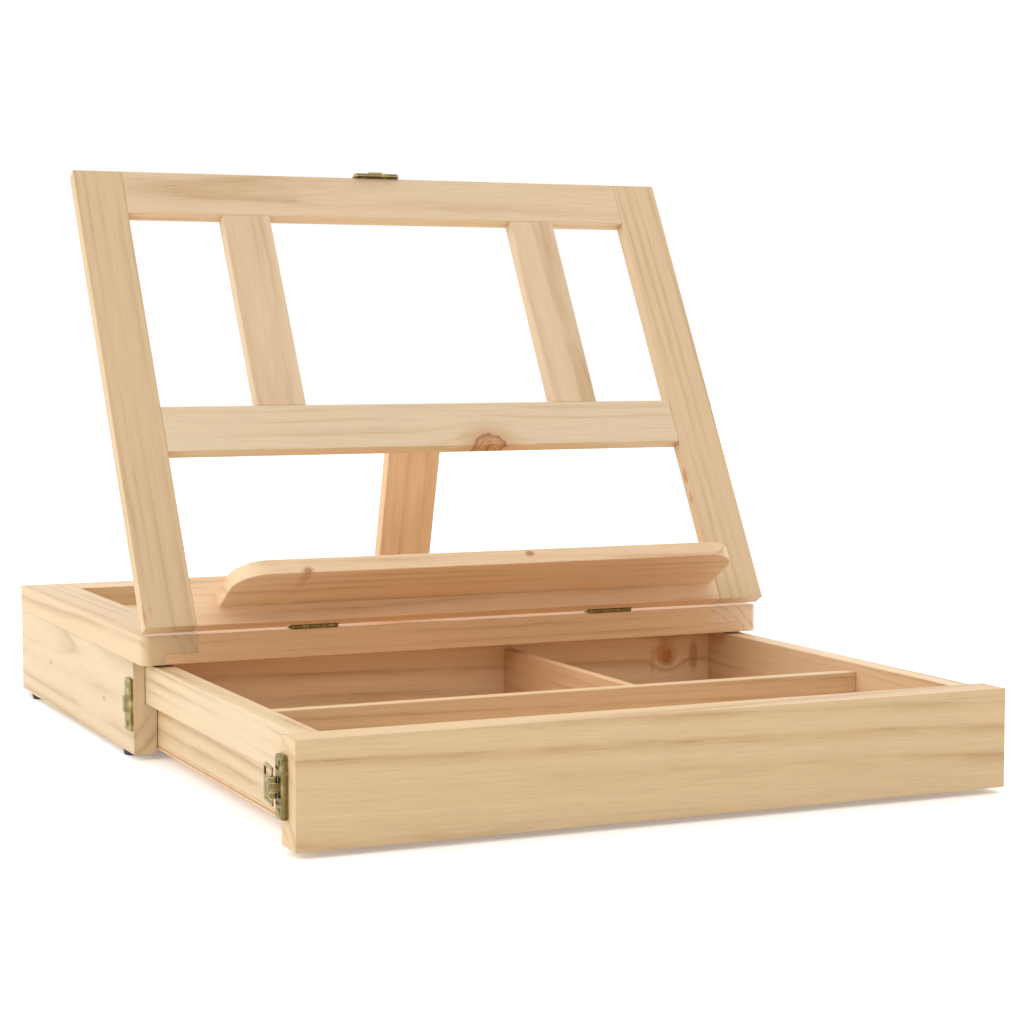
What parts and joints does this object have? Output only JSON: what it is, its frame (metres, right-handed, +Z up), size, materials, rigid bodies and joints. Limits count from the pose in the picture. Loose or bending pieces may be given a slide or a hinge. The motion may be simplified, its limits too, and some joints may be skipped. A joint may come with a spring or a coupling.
{
  "type": "tabletop box easel",
  "caption": "Shallow wooden box easel with a tilting frame, canvas ledge, folding prop and a divided drawer with toggle latches.",
  "frame": {"origin": "middle of the bounding box on the table plane, with the drawer pulled out and the easel up", "axes": "+X to the right, +Y to the back (the drawer opens towards -Y), +Z up"},
  "size_m": [0.4358, 0.607, 0.3671],
  "materials": {
    "pine": "planed and clear, satin",
    "plywood": "thin plywood, sanded",
    "antique_brass": "antique brass plate, satin",
    "rubber": "matt dark grey"
  },
  "bodies": {
    "box": {"frame_rail_left": "pine", "frame_rail_right": "pine", "frame_rail_front": "pine", "frame_rail_rear": "pine", "recess_panel": "plywood", "prop_stops": "pine", "side_panel_left": "pine", "side_panel_right": "pine", "back_panel": "pine", "feet": "rubber", "hinge_leaves_box": "antique_brass", "hinge_pins": "antique_brass", "hinge_screws_box": "antique_brass", "side_strikes": "antique_brass", "side_strike_screws": "antique_brass", "rear_latch_base": "antique_brass", "rear_latch_pin": "antique_brass", "rear_latch_screws": "antique_brass"},
    "easel": {"easel_stile_left": "pine", "easel_stile_right": "pine", "easel_top_rail": "pine", "easel_mid_rail": "pine", "easel_bottom_rail": "pine", "easel_slat_left": "pine", "easel_slat_right": "pine", "canvas_ledge": "pine", "hinge_leaves_easel": "antique_brass", "hinge_screws_easel": "antique_brass", "prop_hinge_leaf_rail": "antique_brass", "prop_hinge_pin": "antique_brass", "prop_hinge_screws_rail": "antique_brass", "top_strike": "antique_brass", "top_strike_screws": "antique_brass"},
    "prop": {"prop_leg": "pine", "prop_hinge_leaf_leg": "antique_brass", "prop_hinge_screws_leg": "antique_brass"},
    "drawer": {"drawer_front": "pine", "drawer_side_left": "pine", "drawer_side_right": "pine", "drawer_back": "pine", "drawer_bottom": "plywood", "divider_long": "pine", "divider_short": "pine", "drawer_latch_bases": "antique_brass", "drawer_latch_pins": "antique_brass", "drawer_latch_screws": "antique_brass"},
    "lever_left": {"latch_lever_left": "antique_brass"},
    "loop_left": {"latch_loop_left": "antique_brass"},
    "lever_right": {"latch_lever_right": "antique_brass"},
    "loop_right": {"latch_loop_right": "antique_brass"},
    "lever_rear": {"latch_lever_rear": "antique_brass"},
    "loop_rear": {"latch_loop_rear": "antique_brass"}
  },
  "joints": [
    {"name": "easel_tilt", "type": "hinge", "parent": "box", "child": "easel", "pos_m": [0, -0.02647, 0.0795], "axis": [1, 0, 0], "range_deg": [-60.15, 9.8]},
    {"name": "prop_swing", "type": "hinge", "parent": "easel", "child": "prop", "pos_m": [-0.001, 0.04902, 0.20704], "axis": [1, 0, 0], "range_deg": [-22.1, 135.2]},
    {"name": "drawer_slide", "type": "slide", "parent": "box", "child": "drawer", "axis": [0, 1, 0], "range_m": [0, 0.277]},
    {"name": "lever_left_flip", "type": "hinge", "parent": "drawer", "child": "lever_left", "pos_m": [-0.2159, -0.28697, 0.0339], "axis": [0, 0, 1], "range_deg": [0, 180]},
    {"name": "loop_left_swing", "type": "hinge", "parent": "lever_left", "child": "loop_left", "pos_m": [-0.2159, -0.28568, 0.0339], "axis": [0, 0, 1], "range_deg": [0, 180]},
    {"name": "lever_right_flip", "type": "hinge", "parent": "drawer", "child": "lever_right", "pos_m": [0.2159, -0.28697, 0.0339], "axis": [0, 0, -1], "range_deg": [0, 180]},
    {"name": "loop_right_swing", "type": "hinge", "parent": "lever_right", "child": "loop_right", "pos_m": [0.2159, -0.28568, 0.0339], "axis": [0, 0, -1], "range_deg": [0, 180]},
    {"name": "lever_rear_flip", "type": "hinge", "parent": "box", "child": "lever_rear", "pos_m": [-0.0015, 0.30142, 0.0733], "axis": [1, 0, 0], "range_deg": [0, 180]},
    {"name": "loop_rear_swing", "type": "hinge", "parent": "lever_rear", "child": "loop_rear", "pos_m": [-0.0015, 0.30142, 0.072], "axis": [1, 0, 0], "range_deg": [0, 188]}
  ],
  "couplings": [
    {"joint": "prop_swing", "follows": "easel_tilt", "ratio": -2.2469}
  ]
}
